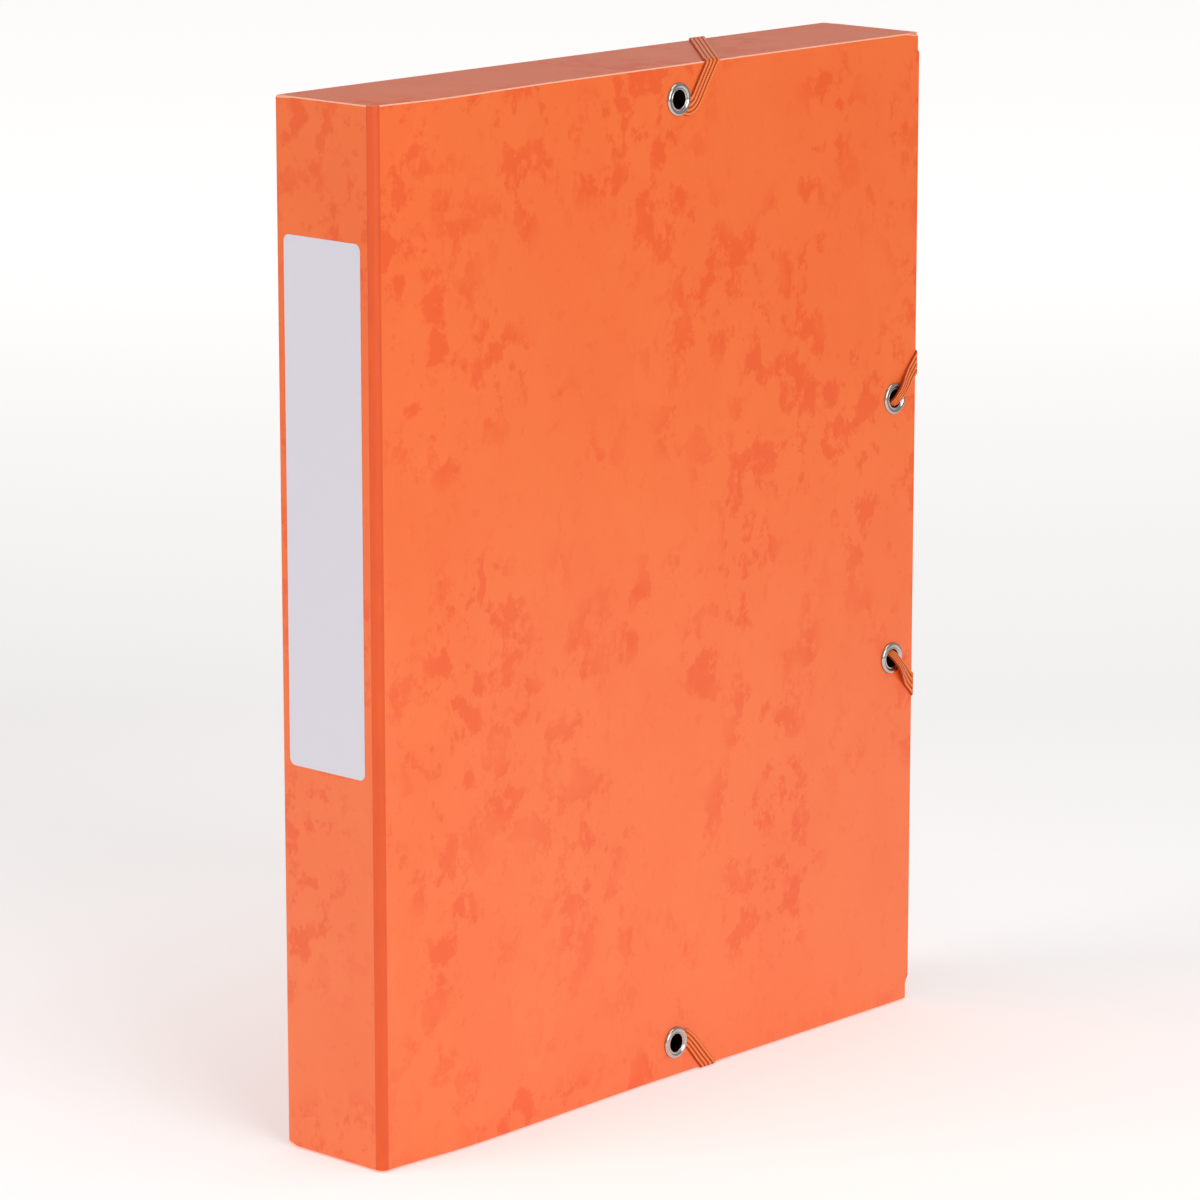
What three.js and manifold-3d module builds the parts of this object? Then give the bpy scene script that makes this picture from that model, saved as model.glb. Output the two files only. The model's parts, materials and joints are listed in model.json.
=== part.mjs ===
// Box file: a card tray with a hinged lid, held shut by an elastic that wraps its two fore-edge corners.
// Units are millimetres, +Z is up. The file stands upright: the spine is on the left (-X), the lid faces
// the front (-Y), the back panel is at +Y.
import * as THREE from 'three';
import { mergeVertices } from 'three/addons/utils/BufferGeometryUtils.js';
import Module from 'manifold-3d';

// Overall size of the closed file, over the card
const fileWidth = 254;
const fileDepth = 42;
const fileHeight = 330;

// Card and its folds
const cardThickness = 0.7;
const foldRadius = 1.4;
const creaseRadius = 2.4;
const creaseGap = 0.3;
const lidSeatGap = 0.3;
const foldSteps = 5;

// Tabs of the end walls, glued inside the spine and the fore-edge wall
const tabLength = 28;
const tabTaper = 5;
const tabFrontMargin = 3;
const tabBackMargin = 2.5;
const glueBite = 0.05;

// Small reliefs cut at the spine's back corners
const spineReliefLowDepth = 4.4;
const spineReliefLowHeight = 1.6;
const spineReliefTopDepth = 8;
const spineReliefTopHeight = 0.6;

// Lid: it bows out beside the crease, and its fore-edge corners are relieved
const lidBow = 2;
const lidBowPeak = 34;
const lidBowEnd = 112;
const lidBowSteps = 22;
const lidTopReliefLength = 7;
const lidTopReliefDrop = 1;
const lidTopSetIn = 0.7;
const lidTopSetInHeight = 5.8;
const lidLowSetIn = 1.4;
const lidLowSetInHeight = 5;
const lidLowStep = 3;

// Paper label on the spine
const labelWidth = 32.5;
const labelLength = 165;
const labelThickness = 0.2;
const labelCorner = 2.2;
const labelFrontMargin = 5.9;
const labelTopMargin = 41.8;

// Eyelets: two near the ends of the lid, two near its fore-edge
const eyeletBore = 3;
const eyeletWall = 0.25;
const eyeletFlangeRadius = 5.3;
const eyeletFlangeHeight = 0.9;
const eyeletClinchRadius = 4.5;
const eyeletClinchHeight = 0.6;
const eyeletClearance = 0.3;
const eyeletRollSteps = 5;
const eyeletSides = 40;
const eyeletEdgeMargin = 10.8;
const endEyeletFromSpine = 135.3;
const foreEyeletFromEnd = 120.8;

// Flat elastic
const bandWidth = 5.6;
const bandThickness = 0.8;
const bandWidthInHole = 4.4;
const bandBesideEyelet = 4.85;
const bandTail = 3.5;
const bandOverFlangeGap = 0.3;
const bandRampLength = 2.2;
const bandWeld = 0.05;

const beyond = 5;

const wasm = await Module();
wasm.setup();

// Turns a closed geometry into a solid that can be cut and joined
function toSolid(geometry) {
  const bare = geometry.index ? geometry.toNonIndexed() : geometry.clone();
  bare.deleteAttribute('normal');
  bare.deleteAttribute('uv');
  const merged = mergeVertices(bare, 1e-5);
  const mesh = new wasm.Mesh({
    numProp: 3,
    vertProperties: new Float32Array(merged.attributes.position.array),
    triVerts: new Uint32Array(merged.index.array),
  });
  return new wasm.Manifold(mesh);
}

function toGeometry(solid) {
  const mesh = solid.getMesh();
  const geometry = new THREE.BufferGeometry();
  geometry.setAttribute('position', new THREE.BufferAttribute(new Float32Array(mesh.vertProperties), 3));
  geometry.setIndex(new THREE.BufferAttribute(new Uint32Array(mesh.triVerts), 1));
  geometry.computeVertexNormals();
  return geometry;
}

function joined(solids) {
  return solids.reduce((whole, next) => whole.add(next));
}

// A box given by its low and high corners
function blockSolid(low, high) {
  const size = high.map((value, i) => value - low[i]);
  const geometry = new THREE.BoxGeometry(...size);
  geometry.translate(low[0] + size[0] / 2, low[1] + size[1] / 2, low[2] + size[2] / 2);
  return toSolid(geometry);
}

// An outline extruded by depth, with its own x, y and depth axes laid along the given directions
function prism(outline, depth, origin, xAxis, yAxis) {
  const geometry = new THREE.ExtrudeGeometry(new THREE.Shape(outline), { depth, bevelEnabled: false });
  const zAxis = new THREE.Vector3().crossVectors(xAxis, yAxis);
  const frame = new THREE.Matrix4().makeBasis(xAxis, yAxis, zAxis).setPosition(...origin);
  geometry.applyMatrix4(frame);
  return toSolid(geometry);
}

const alongX = new THREE.Vector3(1, 0, 0);
const alongY = new THREE.Vector3(0, 1, 0);
const alongZ = new THREE.Vector3(0, 0, 1);

// An outline in plan (x, y), extruded up
function planPrism(outline, low, high) {
  return prism(outline, high - low, [0, 0, low], alongX, alongY);
}

// An outline seen from the side (y, z), extruded along the file's width
function sidePrism(outline, low, high) {
  return prism(outline, high - low, [low, 0, 0], alongY, alongZ);
}

// An outline seen from the back (z, x), extruded through the file's depth
function frontPrism(outline, low, high) {
  return prism(outline, high - low, [0, low, 0], alongZ, alongX);
}

function point(x, y) {
  return new THREE.Vector2(x, y);
}

// Points of an arc about a centre, angles in degrees
function arc(centreX, centreY, radius, from, to, steps = foldSteps) {
  const points = [];
  for (let i = 0; i <= steps; i++) {
    const angle = THREE.MathUtils.degToRad(from + ((to - from) * i) / steps);
    points.push(point(centreX + radius * Math.cos(angle), centreY + radius * Math.sin(angle)));
  }
  return points;
}

// How far the lid bows out at a distance from the spine
function bowAt(x) {
  if (x <= creaseRadius || x >= lidBowEnd) return 0;
  const rising = x < lidBowPeak;
  const share = rising
    ? (x - creaseRadius) / (lidBowPeak - creaseRadius)
    : (lidBowEnd - x) / (lidBowEnd - lidBowPeak);
  return lidBow * share * share * (3 - 2 * share);
}

// The bowed line of the lid, at a depth behind its face. The end walls' front edges follow it too
function bowLine(depth) {
  const points = [];
  for (let i = 1; i <= lidBowSteps; i++) {
    const x = creaseRadius + ((lidBowEnd - creaseRadius) * i) / lidBowSteps;
    points.push(point(x, depth - bowAt(x)));
  }
  return points;
}

// Plan outline of the file, drawn inset by a margin: round at the crease and at the two back folds
function planOutline(inset) {
  const crease = creaseRadius - inset;
  const fold = foldRadius - inset;
  const right = fileWidth - inset;
  const back = fileDepth - inset;
  return [
    ...arc(creaseRadius, creaseRadius, crease, 180, 270),
    ...bowLine(inset),
    point(right, inset),
    ...arc(right - fold, back - fold, fold, 0, 90),
    ...arc(inset + fold, back - fold, fold, 90, 180),
  ];
}

// Side outline of the file, round at the folds between the back panel and the end walls
function sideOutline(inset) {
  const fold = foldRadius - inset;
  const back = fileDepth - inset;
  const low = inset;
  const high = fileHeight - inset;
  return [
    point(inset - lidBow, low),
    ...arc(back - fold, low + fold, fold, 270, 360),
    ...arc(back - fold, high - fold, fold, 0, 90),
    point(inset - lidBow, high),
  ];
}

// A tab of an end wall, glued flat against the inside of an upright wall
function wallTab(wallSide, endSide) {
  const front = tabFrontMargin;
  const back = fileDepth - cardThickness - tabBackMargin;
  const root = endSide > 0 ? fileHeight - cardThickness + glueBite : cardThickness - glueBite;
  const tip = root - endSide * tabLength;
  const outline = [
    point(front, root),
    point(back, root),
    point(back - tabTaper, tip),
    point(front + tabTaper, tip),
  ];
  if (endSide > 0) outline.reverse();
  const inner = cardThickness - glueBite;
  const start = wallSide > 0 ? fileWidth - 2 * cardThickness : inner;
  return sidePrism(outline, start, start + cardThickness + glueBite);
}

// Tray: back panel, spine, two end walls and fore-edge wall, folded from one sheet
function makeTray() {
  const shell = planPrism(planOutline(0), 0, fileHeight)
    .intersect(sidePrism(sideOutline(0), 0, fileWidth));
  const space = planPrism(planOutline(cardThickness), cardThickness, fileHeight - cardThickness)
    .intersect(sidePrism(sideOutline(cardThickness), 0, fileWidth));
  const wallFront = cardThickness + lidSeatGap;
  const shift = -creaseGap * Math.SQRT1_2;
  const seatRadius = creaseRadius - wallFront;
  const seatCorner = creaseRadius - seatRadius * Math.SQRT1_2;
  const lidPlace = planPrism([
    ...arc(creaseRadius, creaseRadius, seatRadius, 270, 225),
    point(seatCorner + shift, seatCorner),
    point(shift - beyond, -beyond),
    point(fileWidth + beyond, -beyond),
    point(fileWidth + beyond, wallFront),
    ...bowLine(wallFront).reverse(),
  ], -beyond, fileHeight + beyond);
  const lowRelief = sidePrism([
    point(fileDepth + beyond, -beyond),
    point(fileDepth + beyond, spineReliefLowHeight * (1 + beyond / spineReliefLowDepth)),
    point(fileDepth - spineReliefLowDepth, 0),
    point(fileDepth - spineReliefLowDepth, -beyond),
  ], -beyond, cardThickness);
  const topRelief = sidePrism([
    point(fileDepth + beyond, fileHeight + beyond),
    point(fileDepth - spineReliefTopDepth, fileHeight + beyond),
    point(fileDepth - spineReliefTopDepth, fileHeight),
    point(fileDepth + beyond, fileHeight - spineReliefTopHeight * (1 + beyond / spineReliefTopDepth)),
  ], -beyond, cardThickness);
  const tabs = [[-1, -1], [-1, 1], [1, -1], [1, 1]].map(([wall, end]) => wallTab(wall, end));
  const walls = shell.subtract(space).subtract(lidPlace).subtract(lowRelief).subtract(topRelief);
  return joined([walls, ...tabs]);
}

// Lid: the front panel from the middle of the crease to the fore-edge
function makeLid() {
  const halfGap = THREE.MathUtils.radToDeg(creaseGap / 2 / creaseRadius);
  const section = [
    ...arc(creaseRadius, creaseRadius, creaseRadius, 225 + halfGap, 270),
    ...bowLine(0),
    point(fileWidth, 0),
    point(fileWidth, cardThickness),
    ...bowLine(cardThickness).reverse(),
    ...arc(creaseRadius, creaseRadius, creaseRadius - cardThickness, 270, 225 + halfGap),
  ];
  const front = [
    point(0, -beyond),
    point(0, fileWidth - lidLowSetIn),
    point(lidLowSetInHeight, fileWidth - lidLowSetIn),
    point(lidLowSetInHeight + lidLowStep, fileWidth),
    point(fileHeight - lidTopSetInHeight - lidTopSetIn, fileWidth),
    point(fileHeight - lidTopSetInHeight, fileWidth - lidTopSetIn),
    point(fileHeight - lidTopReliefDrop, fileWidth - lidTopSetIn),
    point(fileHeight, fileWidth - lidTopReliefLength),
    point(fileHeight, -beyond),
  ];
  const panel = planPrism(section, 0, fileHeight).intersect(frontPrism(front, -beyond, beyond));
  return eyelets.reduce((lid, place) => lid.subtract(eyeletHole(place)), panel);
}

// Where the eyelets sit on the lid
const foreEyeletX = fileWidth - eyeletEdgeMargin;
const eyelets = [
  { name: 'eyelet_top', x: endEyeletFromSpine, z: fileHeight - eyeletEdgeMargin },
  { name: 'eyelet_bottom', x: endEyeletFromSpine, z: eyeletEdgeMargin },
  { name: 'eyelet_fore_edge_upper', x: foreEyeletX, z: fileHeight - foreEyeletFromEnd },
  { name: 'eyelet_fore_edge_lower', x: foreEyeletX, z: foreEyeletFromEnd },
];

// A turned cylinder along the depth of the file, from one depth to another
function roundBar(place, radius, front, back) {
  const profile = [point(0, front), point(radius, front), point(radius, back), point(0, back)];
  const geometry = new THREE.LatheGeometry(profile, eyeletSides);
  geometry.translate(place.x, 0, place.z);
  return toSolid(geometry);
}

function eyeletHole(place) {
  return roundBar(place, eyeletBore + eyeletWall + eyeletClearance, -beyond, beyond);
}

// Eyelet: a turned tube with a rolled flange on the lid's face and a rolled clinch on its inside
function makeEyelet(place) {
  const barrel = eyeletBore + eyeletWall;
  const flangeMiddle = (eyeletFlangeRadius + eyeletBore) / 2;
  const flangeHalf = (eyeletFlangeRadius - eyeletBore) / 2;
  const clinchMiddle = (eyeletClinchRadius + eyeletBore) / 2;
  const clinchHalf = (eyeletClinchRadius - eyeletBore) / 2;
  const profile = [];
  for (let i = 0; i <= eyeletRollSteps; i++) {
    const angle = (Math.PI * i) / eyeletRollSteps;
    profile.push(point(
      flangeMiddle - flangeHalf * Math.cos(angle),
      -eyeletFlangeHeight * Math.sin(angle),
    ));
  }
  profile.push(point(barrel, 0), point(barrel, cardThickness));
  for (let i = 0; i <= eyeletRollSteps; i++) {
    const angle = (Math.PI * i) / eyeletRollSteps;
    profile.push(point(
      clinchMiddle + clinchHalf * Math.cos(angle),
      cardThickness + eyeletClinchHeight * Math.sin(angle),
    ));
  }
  profile.push(profile[0].clone());
  const geometry = new THREE.LatheGeometry(profile, eyeletSides);
  geometry.translate(place.x, 0, place.z);
  return toSolid(geometry);
}

// Slant of the elastic: it runs straight when the faces it crosses are laid flat
const bandAcross = fileWidth - endEyeletFromSpine + fileDepth + eyeletEdgeMargin;
const bandUp = eyeletEdgeMargin + fileDepth + foreEyeletFromEnd;
const bandAngle = Math.atan2(bandUp, bandAcross)
  + Math.asin(bandBesideEyelet / Math.hypot(bandUp, bandAcross));
const bandCos = Math.cos(bandAngle);
const bandSin = Math.sin(bandAngle);

// Outline of a ribbon of even thickness along a bent line
function ribbonOutline(line, thickness) {
  const sides = [[], []];
  line.forEach((here, i) => {
    const before = i > 0 ? here.clone().sub(line[i - 1]).normalize() : null;
    const after = i < line.length - 1 ? line[i + 1].clone().sub(here).normalize() : null;
    const one = before ?? after;
    const two = after ?? before;
    const normal = point(-one.y - two.y, one.x + two.x).normalize();
    const reach = thickness / 2 / (normal.x * -one.y + normal.y * one.x);
    sides[0].push(here.clone().addScaledVector(normal, -reach));
    sides[1].unshift(here.clone().addScaledVector(normal, reach));
  });
  return [...sides[0], ...sides[1]];
}

// A straight slanted strip on one face, between two lines across it. The face's own axes are run, along
// the edge it enters by, and rise, away from that edge
function strip(start, runLow, runHigh, riseLow, riseHigh, origin, runAxis, riseAxis) {
  const slope = bandCos / bandSin;
  const half = bandWidth / 2 / bandSin;
  const middle = (rise) => start + rise * slope;
  const outline = [
    point(middle(riseLow) - half, riseLow),
    point(middle(riseLow) + half, riseLow),
    point(middle(riseHigh) + half, riseHigh),
    point(middle(riseHigh) - half, riseHigh),
  ];
  const whole = prism(outline, bandThickness, origin, runAxis, riseAxis);
  const keep = prism([
    point(runLow, riseLow - beyond),
    point(runHigh, riseLow - beyond),
    point(runHigh, riseHigh + beyond),
    point(runLow, riseHigh + beyond),
  ], bandThickness, origin, runAxis, riseAxis);
  return whole.intersect(keep);
}

// The half of the elastic that wraps the upper fore-edge corner
function upperBand() {
  const halfAlong = bandWidth / 2 / bandSin;
  const halfDown = bandWidth / 2 / bandCos;
  const slope = bandCos / bandSin;
  const topX = endEyeletFromSpine + bandBesideEyelet / bandSin + eyeletEdgeMargin * slope;
  const backX = topX + fileDepth * slope;
  const backZ = fileHeight - (fileWidth - backX) / slope;
  const foreZ = backZ - fileDepth / slope;
  const thick = bandThickness;
  const far = fileWidth + fileHeight;
  const tailDrop = eyeletEdgeMargin + bandTail;
  // On the lid beside the top eyelet, up to the top edge
  const onLid = strip(topX, -far, far, -tailDrop, bandWeld,
    [0, 0, fileHeight], alongX, alongZ);
  // Across the top wall
  const onTop = strip(topX, -far, far, -bandWeld, fileDepth + bandWeld,
    [0, 0, fileHeight], alongX, alongY);
  // Down the back panel to the fore-edge
  const downZ = alongZ.clone().negate();
  const onBack = strip(backX, -far, fileWidth + bandWeld, -bandWeld, far,
    [0, fileDepth, fileHeight], alongX, downZ);
  // Across the fore-edge wall, towards the lid
  const foreOutline = [
    point(fileDepth + bandWeld, backZ + bandWeld / slope - halfDown),
    point(fileDepth + bandWeld, backZ + bandWeld / slope + halfDown),
    point(-bandWeld, foreZ - bandWeld / slope + halfDown),
    point(-bandWeld, foreZ - bandWeld / slope - halfDown),
  ];
  const onFore = sidePrism(foreOutline, fileWidth, fileWidth + thick);
  // The four turns over the edges
  const turns = [
    blockSolid([topX - halfAlong, -thick, fileHeight], [topX + halfAlong, 0, fileHeight + thick]),
    blockSolid(
      [backX - halfAlong, fileDepth, fileHeight],
      [backX + halfAlong, fileDepth + thick, fileHeight + thick],
    ),
    blockSolid([fileWidth, fileDepth, backZ - halfDown], [fileWidth + thick, fileDepth + thick, backZ + halfDown]),
    blockSolid([fileWidth, -thick, foreZ - halfDown], [fileWidth + thick, 0, foreZ + halfDown]),
  ];
  const body = joined([onLid, onTop, onBack, onFore, ...turns, ...intoEyelet(foreZ)]);
  return body.subtract(roundBar(eyelets[0], eyeletFlangeRadius + eyeletClearance, -beyond, beyond));
}

// From the fore-edge over the eyelet's flange and down through its bore
function intoEyelet(foreZ) {
  const reach = eyeletEdgeMargin / bandCos;
  const inward = new THREE.Vector3(-bandCos, 0, -bandSin);
  const outward = new THREE.Vector3(0, -1, 0);
  const sideways = new THREE.Vector3().crossVectors(inward, outward);
  const overFlange = eyeletFlangeHeight + bandOverFlangeGap + bandThickness / 2;
  const flat = bandThickness / 2;
  const start = -bandWidth / bandCos;
  const rampEnd = reach - eyeletFlangeRadius + flat;
  const lip = reach - eyeletBore - flat;
  const line = [
    point(start, flat),
    point(rampEnd - bandRampLength, flat),
    point(rampEnd, overFlange),
    point(lip, overFlange),
    point(reach, -cardThickness),
    point(reach, -insideRunDepth),
  ];
  const ribbon = (points, width) => prism(
    ribbonOutline(points, bandThickness),
    width,
    new THREE.Vector3(fileWidth, 0, foreZ).addScaledVector(sideways, -width / 2).toArray(),
    inward,
    outward,
  );
  const onLid = ribbon(line.slice(0, 4), bandWidth).intersect(blockSolid(
    [0, -beyond, 0],
    [fileWidth + bandWeld, beyond, fileHeight],
  ));
  const throughHole = ribbon([point(lip - flat, overFlange), ...line.slice(3)], bandWidthInHole);
  return [onLid, throughHole];
}

// Inside the lid the elastic runs straight from one fore-edge eyelet to the other
const insideRunDepth = cardThickness + eyeletClinchHeight + bandOverFlangeGap + bandThickness / 2;
function insideRun() {
  const line = [
    point(foreEyeletFromEnd, -cardThickness / 2),
    point(foreEyeletFromEnd, insideRunDepth),
    point(fileHeight - foreEyeletFromEnd, insideRunDepth),
    point(fileHeight - foreEyeletFromEnd, -cardThickness / 2),
  ];
  const backwards = ribbonOutline(line, bandThickness).map((p) => point(p.y, p.x)).reverse();
  return sidePrism(backwards, foreEyeletX - bandWidthInHole / 2, foreEyeletX + bandWidthInHole / 2);
}

// The elastic: both corner loops and the run inside the lid are one length
function makeBand() {
  const upper = upperBand();
  const lower = upper.mirror([0, 0, 1]).translate([0, 0, fileHeight]);
  return joined([upper, lower, insideRun()]);
}

// Label: a rounded rectangle of paper glued on the spine
function makeLabel() {
  const low = fileHeight - labelTopMargin - labelLength;
  const high = fileHeight - labelTopMargin;
  const front = labelFrontMargin;
  const back = labelFrontMargin + labelWidth;
  const r = labelCorner;
  return sidePrism([
    ...arc(back - r, low + r, r, 270, 360),
    ...arc(back - r, high - r, r, 0, 90),
    ...arc(front + r, high - r, r, 90, 180),
    ...arc(front + r, low + r, r, 180, 270),
  ], -labelThickness, 0);
}

const orangeCard = { color: 0xf2743a, roughness: 0.38, metalness: 0 };
const nickel = { color: 0xd8d4d2, roughness: 0.18, metalness: 1 };
const file = new THREE.Group();

function addPiece(name, solid, finish) {
  const mesh = new THREE.Mesh(toGeometry(solid), new THREE.MeshStandardMaterial(finish));
  mesh.name = name;
  file.add(mesh);
}

addPiece('tray', makeTray(), orangeCard);
addPiece('lid', makeLid(), orangeCard);
addPiece('spine_label', makeLabel(), { color: 0xece8ec, roughness: 0.6, metalness: 0 });
eyelets.forEach((place) => addPiece(place.name, makeEyelet(place), nickel));
addPiece('elastic_band', makeBand(), { color: 0xf0752e, roughness: 0.85, metalness: 0 });

// The origin is at the middle of the file's footprint, at its lowest point
const frontReach = Math.max(lidBow, eyeletFlangeHeight + bandOverFlangeGap + bandThickness);
file.position.set(
  -(fileWidth + bandThickness - labelThickness) / 2,
  -(fileDepth + bandThickness - frontReach) / 2,
  bandThickness,
);

export default file;
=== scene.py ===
"""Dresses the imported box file: glazed card, spine label, eyelets and ribbed elastic, on a pale floor."""

import json
import math

import bmesh
import bpy
from mathutils import Matrix, Vector, noise


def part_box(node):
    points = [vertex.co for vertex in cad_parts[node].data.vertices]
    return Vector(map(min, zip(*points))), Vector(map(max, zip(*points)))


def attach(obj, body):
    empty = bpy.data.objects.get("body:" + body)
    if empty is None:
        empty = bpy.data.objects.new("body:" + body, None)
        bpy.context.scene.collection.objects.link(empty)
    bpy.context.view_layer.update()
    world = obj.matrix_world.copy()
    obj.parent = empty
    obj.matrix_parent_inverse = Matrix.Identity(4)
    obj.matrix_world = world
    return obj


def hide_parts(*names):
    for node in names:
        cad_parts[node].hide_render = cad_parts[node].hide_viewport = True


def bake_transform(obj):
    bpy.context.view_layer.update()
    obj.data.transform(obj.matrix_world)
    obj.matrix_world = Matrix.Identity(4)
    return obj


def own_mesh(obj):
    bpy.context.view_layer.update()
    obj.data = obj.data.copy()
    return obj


bl_info = {
    "name": "Box File Dressing",
    "version": (1, 0, 0),
    "blender": (4, 5, 0),
    "location": "View3D > Sidebar > Box File",
    "description": "Card, label, eyelets and elastic of a box file",
    "category": "Object",
}

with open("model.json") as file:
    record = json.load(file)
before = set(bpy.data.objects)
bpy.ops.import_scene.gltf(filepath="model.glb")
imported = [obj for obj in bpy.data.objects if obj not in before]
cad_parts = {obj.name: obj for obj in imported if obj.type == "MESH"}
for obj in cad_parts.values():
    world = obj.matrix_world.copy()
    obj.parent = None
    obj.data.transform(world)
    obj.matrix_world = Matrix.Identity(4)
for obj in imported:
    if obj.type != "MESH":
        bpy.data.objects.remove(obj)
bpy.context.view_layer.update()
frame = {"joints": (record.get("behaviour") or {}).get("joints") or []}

MM = 0.001

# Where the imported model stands: the lid's outer plane, the spine and the ends, in the row frame
HINGE = frame["joints"][0]
LID_PLANE_Y = HINGE["deforming_nodes"][0]["fixed_end_y_m"]
TRAY_LOW, TRAY_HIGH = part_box("tray")
WIDTH = TRAY_HIGH.x - TRAY_LOW.x
HEIGHT = TRAY_HIGH.z - TRAY_LOW.z
DEPTH = TRAY_HIGH.y - LID_PLANE_Y
ORIGIN = Vector((TRAY_LOW.x, LID_PLANE_Y, TRAY_LOW.z))
EYELETS = ("eyelet_top", "eyelet_bottom", "eyelet_fore_edge_upper", "eyelet_fore_edge_lower")


def linear(code):
    """An sRGB hex colour as linear red, green, blue and alpha."""
    parts = [int(code[i : i + 2], 16) / 255 for i in (0, 2, 4)]
    return (*[c / 12.92 if c <= 0.04045 else ((c + 0.055) / 1.055) ** 2.4 for c in parts], 1.0)


def on_file(x, y, z):
    """A point given from the spine, the lid's face and the base, in the row frame."""
    return ORIGIN + Vector((x, y, z))


def eyelet_place(name):
    """An eyelet's centre, from the spine and from the base."""
    low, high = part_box(name)
    centre = (low + high) / 2 - ORIGIN
    return centre.x, centre.z


# The end eyelet and the fore-edge eyelet where the faces that the elastic crosses are laid flat
END_X, END_Z = eyelet_place("eyelet_top")
FORE_X, FORE_Z = eyelet_place("eyelet_fore_edge_upper")
FLANGE_RADIUS = (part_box("eyelet_top")[1].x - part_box("eyelet_top")[0].x) / 2
FLAT_END = Vector((END_X, END_Z - HEIGHT, 0))
FLAT_FORE = Vector((WIDTH + DEPTH + WIDTH - FORE_X, DEPTH + HEIGHT - FORE_Z, 0))


def mix(a, b, share):
    return a + (b - a) * share


def smooth(share):
    share = min(1.0, max(0.0, share))
    return share * share * (3 - 2 * share)


# The sizes and colours that a user would change


def length(name, default, description):
    return bpy.props.FloatProperty(
        name=name, description=description, default=default, unit="LENGTH", precision=5
    )


def colour(name, code, description):
    return bpy.props.FloatVectorProperty(
        name=name, description=description, default=linear(code), subtype="COLOR", size=4, min=0, max=1
    )


class BOXFILE_PG_card(bpy.types.PropertyGroup):
    thickness: length("Thickness", 0.7 * MM, "Thickness of the pressed card")
    crease_radius: length("Crease radius", 2.4 * MM, "Outer radius of the fold between spine and lid")
    fold_radius: length("Fold radius", 1.4 * MM, "Outer radius of the tray's own folds")
    seat_gap: length("Seat gap", 0.3 * MM, "Play between the lid and the edges of the walls")
    bow: length("Lid bow", 2.0 * MM, "How far the lid stands off beside the crease")
    warp: length("Warp", 0.22 * MM, "Slow unevenness of the wide panels")
    face: colour("Face", "f76f28", "Ground colour of the glazed card")
    cloud: colour("Cloud", "f05703", "Darker clouds in the card")
    edge: colour("Cut edge", "ffc4a8", "Raw edge of the card")
    crease: colour("Crease", "d64e1a", "Pressed card in the crease")


class BOXFILE_PG_label(bpy.types.PropertyGroup):
    thickness: length("Thickness", 0.15 * MM, "Thickness of the label")
    corner: length("Corner radius", 2.2 * MM, "Radius of the label's corners")
    paper: colour("Paper", "dcd7e0", "Colour of the label")


class BOXFILE_PG_eyelet(bpy.types.PropertyGroup):
    bore: length("Bore radius", 3.0 * MM, "Radius of the hole")
    flange_height: length("Flange height", 0.9 * MM, "Height of the rolled flange over the card")
    clinch_height: length("Clinch height", 0.6 * MM, "Height of the rolled clinch inside the lid")
    plate: colour("Plating", "c2bcb8", "Colour of the nickel plating")


class BOXFILE_PG_elastic(bpy.types.PropertyGroup):
    width: length("Width", 5.6 * MM, "Width of the elastic")
    thickness: length("Thickness", 0.8 * MM, "Thickness of the elastic")
    ribs: bpy.props.IntProperty(
        name="Ribs", description="Covered rubber cores side by side", default=4, min=2
    )
    yarn: colour("Yarn", "fb8036", "Colour of the covering yarn")
    # The groove colour is painted shade: darker yarn between the ribs stands in for the shade in the grooves.
    painted_groove_shade: colour("Groove", "b03408", "Colour between the ribs")


SETTING_GROUPS = {
    "boxfile_card": BOXFILE_PG_card,
    "boxfile_label": BOXFILE_PG_label,
    "boxfile_eyelet": BOXFILE_PG_eyelet,
    "boxfile_elastic": BOXFILE_PG_elastic,
}


# Materials

# The mottle of the card: size, roughness, the levels between which a cloud fades in, and seed
PATCHES = (8.5 * MM, 0.64, 0.50, 0.58, 3.1)
PATCH_GROUPS = (45 * MM, 0.50, 0.42, 0.58, 8.4)
FLECKS = (5 * MM, 0.68, 0.56, 0.62, 1.7)
HAZE = (34 * MM, 0.62, 0.36, 0.66, 5.2)
PATCH_SHARE = 0.85
FLECK_SHARE = 0.26
HAZE_SHARE = 0.24
CLOUD_STRETCH = 0.86

# The slanted threads over the elastic repeat every 0.7 mm, coarser than real yarn so that they show. The
# wave texture repeats every 0.314 divided by its scale.
THREAD_SCALE = 0.45
THREAD_SLANT = 62


def add_node(tree, kind, settings=None, links=None):
    """Adds a shader node, sets its sockets and properties, and links its inputs."""
    node = tree.nodes.new(kind)
    for key, value in (settings or {}).items():
        if isinstance(key, int) or key in node.inputs:
            node.inputs[key].default_value = value
        else:
            setattr(node, key, value)
    for key, source in (links or {}).items():
        tree.links.new(source, node.inputs[key])
    return node


def new_material(name):
    """An empty material and its node tree."""
    made = bpy.data.materials.new(name)
    made.use_nodes = True
    made.node_tree.nodes.clear()
    return made, made.node_tree


def finish_material(tree, shader):
    add_node(tree, "ShaderNodeOutputMaterial", links={"Surface": shader.outputs["BSDF"]})


def stretched_place(tree, scale):
    """The surface's own place, stretched by a scale on each axis."""
    place = add_node(tree, "ShaderNodeTexCoord")
    return add_node(tree, "ShaderNodeMapping", {"Scale": scale}, {"Vector": place.outputs["Object"]})


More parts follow.
